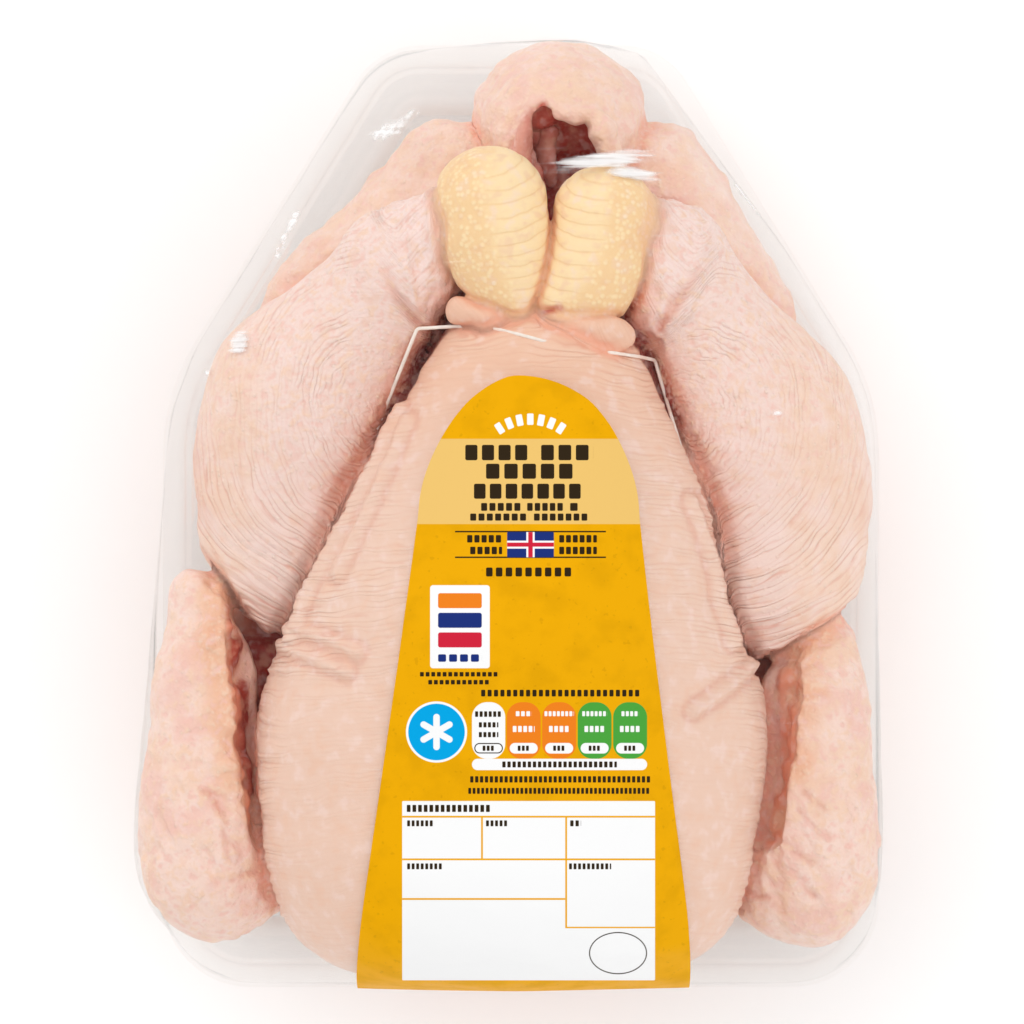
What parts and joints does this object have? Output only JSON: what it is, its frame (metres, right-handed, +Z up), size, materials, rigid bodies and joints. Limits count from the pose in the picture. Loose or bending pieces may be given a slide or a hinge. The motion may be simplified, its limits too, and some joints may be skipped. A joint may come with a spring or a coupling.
{
  "type": "whole raw chicken in a clear tray pack",
  "caption": "Whole raw chicken on its back in a clear tapered tray, under tight clear film with a plain mustard label, its legs held by an elastic tie.",
  "frame": {"origin": "middle of the tray's flat base, on the surface that the pack stands on", "axes": "+Z up through the breast, +Y towards the tail and the hocks, +X to the bird's right-hand side as seen from above with the tail up"},
  "size_m": [0.1977, 0.252, 0.1194],
  "materials": {
    "skin": "moist raw chicken skin, satin",
    "elastic": "thin off-white elastic string",
    "clear_tray": "clear thermoformed sheet",
    "clear_film": "thin clear stretched film",
    "label": "mustard label with plain fields of colour"
  },
  "bodies": {
    "root": {"chicken": "skin", "leg_tie": "elastic", "tray": "clear_tray", "film": "clear_film", "label": "label"}
  },
  "joints": []
}
